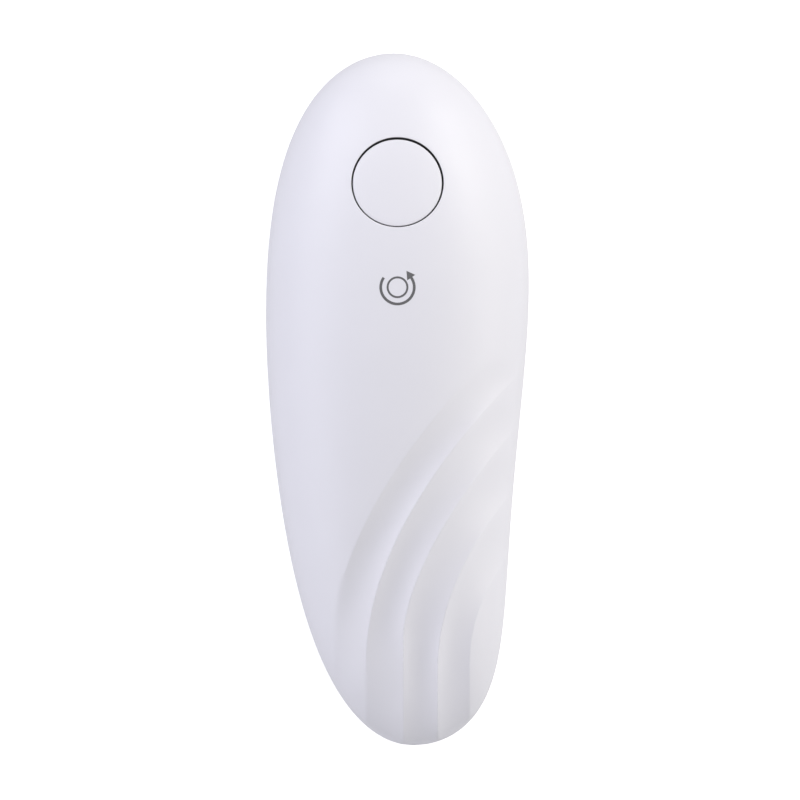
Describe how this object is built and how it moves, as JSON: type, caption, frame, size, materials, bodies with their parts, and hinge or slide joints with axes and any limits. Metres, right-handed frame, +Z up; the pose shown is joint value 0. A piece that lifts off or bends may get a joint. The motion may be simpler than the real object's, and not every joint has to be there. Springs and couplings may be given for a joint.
{
  "type": "handheld electric can opener",
  "caption": "Egg-shaped battery can opener with a round start button, ribbed grip, toothed drive wheel, eccentric cutter, magnet arm and sliding battery door.",
  "frame": {"origin": "on the surface it stands on, under the middle of its outline", "axes": "+Y along the body to the nose, +X to the right as the button is looked at, +Z up through the button side"},
  "size_m": [0.0729, 0.192, 0.0541],
  "materials": {
    "white_plastic": "satin moulded",
    "grey_plastic": "moulded",
    "gear_plastic": "moulded",
    "steel": "bright",
    "brass": "turned",
    "magnet": "plated",
    "board": "solder mask",
    "cell_wrap": "printed sleeve",
    "lead_red": "insulation",
    "lead_black": "insulation"
  },
  "bodies": {
    "housing": {"upper_housing": "white_plastic", "lower_housing": "white_plastic", "upper_gear_plate": "grey_plastic", "lower_gear_plate": "grey_plastic", "motor_end_cap": "grey_plastic", "switch_body": "grey_plastic", "head_plate": "steel", "magnet_pin": "steel", "motor_can": "steel", "motor_bracket": "steel", "gear_pin_1": "steel", "gear_pin_2": "steel", "gear_pin_3": "steel", "rear_link_plate": "steel", "front_plate_positive": "steel", "front_plate_negative": "steel", "rear_spring": "steel", "front_spring": "steel", "button_spring": "steel", "head_screw_1": "steel", "head_screw_2": "steel", "head_screw_3": "steel", "head_screw_4": "steel", "housing_screw_1": "steel", "housing_screw_2": "steel", "housing_screw_3": "steel", "housing_screw_4": "steel", "drive_bush": "brass", "circuit_board": "board", "cell_1": "cell_wrap", "cell_2": "cell_wrap", "lead_positive": "lead_red", "lead_negative": "lead_black"},
    "button": {"start_button": "white_plastic"},
    "plunger": {"switch_plunger": "grey_plastic"},
    "rotor": {"motor_shaft": "steel", "motor_pinion": "brass"},
    "crown": {"crown_gear": "gear_plastic"},
    "second": {"second_gear": "gear_plastic"},
    "third": {"third_gear": "gear_plastic"},
    "drive": {"drive_shaft": "steel", "drive_wheel": "steel", "drive_wheel_nut": "steel", "output_gear": "gear_plastic"},
    "clutch": {"clutch_pinion": "gear_plastic"},
    "carrier": {"cutter_carrier": "grey_plastic", "carrier_gear": "gear_plastic", "cutter_screw": "steel"},
    "cutter": {"cutter_wheel": "steel"},
    "magnet_holder": {"magnet_arm": "grey_plastic", "magnet": "magnet"},
    "door": {"battery_door": "white_plastic"}
  },
  "joints": [
    {"name": "button_press", "type": "slide", "parent": "housing", "child": "button", "axis": [0, -0.213, -0.977], "range_m": [0, 0.0014], "stiffness_N_per_m": 600, "springref_m": -0.0008, "deforming": ["button_spring"]},
    {"name": "plunger_press", "type": "slide", "parent": "housing", "child": "plunger", "axis": [0, -0.213, -0.977], "range_m": [0, 0.0016]},
    {"name": "drive_spin", "type": "hinge", "parent": "housing", "child": "drive", "pos_m": [0, 0.052, 0.018], "axis": [0, 0, 1], "continuous": true},
    {"name": "third_gear_spin", "type": "hinge", "parent": "housing", "child": "third", "pos_m": [0.01782, 0.04541, 0.025], "axis": [0, 0, 1], "continuous": true},
    {"name": "second_gear_spin", "type": "hinge", "parent": "housing", "child": "second", "pos_m": [0.0145, 0.02976, 0.027], "axis": [0, 0, 1], "continuous": true},
    {"name": "crown_gear_spin", "type": "hinge", "parent": "housing", "child": "crown", "pos_m": [0, 0.023, 0.025], "axis": [0, 0, 1], "continuous": true},
    {"name": "motor_spin", "type": "hinge", "parent": "housing", "child": "rotor", "pos_m": [0, 0, 0.0266], "axis": [0, 1, 0], "continuous": true},
    {"name": "carrier_turn", "type": "hinge", "parent": "housing", "child": "carrier", "pos_m": [0, 0.0315, 0.013], "axis": [0, 0, 1], "range_deg": [0, 180]},
    {"name": "clutch_spin", "type": "hinge", "parent": "housing", "child": "clutch", "pos_m": [0, 0.052, 0.016], "axis": [0, 0, 1], "range_deg": [-492, 0]},
    {"name": "cutter_spin", "type": "hinge", "parent": "carrier", "child": "cutter", "pos_m": [0, 0.0285, 0.0056], "axis": [0, 0, 1], "continuous": true},
    {"name": "magnet_arm_swing", "type": "hinge", "parent": "housing", "child": "magnet_holder", "pos_m": [0, 0.0655, 0.0138], "axis": [1, 0, 0], "range_deg": [0, 15]},
    {"name": "battery_door_slide", "type": "slide", "parent": "housing", "child": "door", "axis": [0, -1, 0], "range_m": [0, 0.065]}
  ],
  "couplings": [
    {"joint": "plunger_press", "follows": "button_press", "ratio": 1},
    {"joint": "third_gear_spin", "follows": "drive_spin", "ratio": -2.8},
    {"joint": "second_gear_spin", "follows": "drive_spin", "ratio": 8.4},
    {"joint": "crown_gear_spin", "follows": "drive_spin", "ratio": -25.2},
    {"joint": "motor_spin", "follows": "drive_spin", "ratio": 75.6},
    {"joint": "clutch_spin", "follows": "carrier_turn", "ratio": -2.7273}
  ]
}
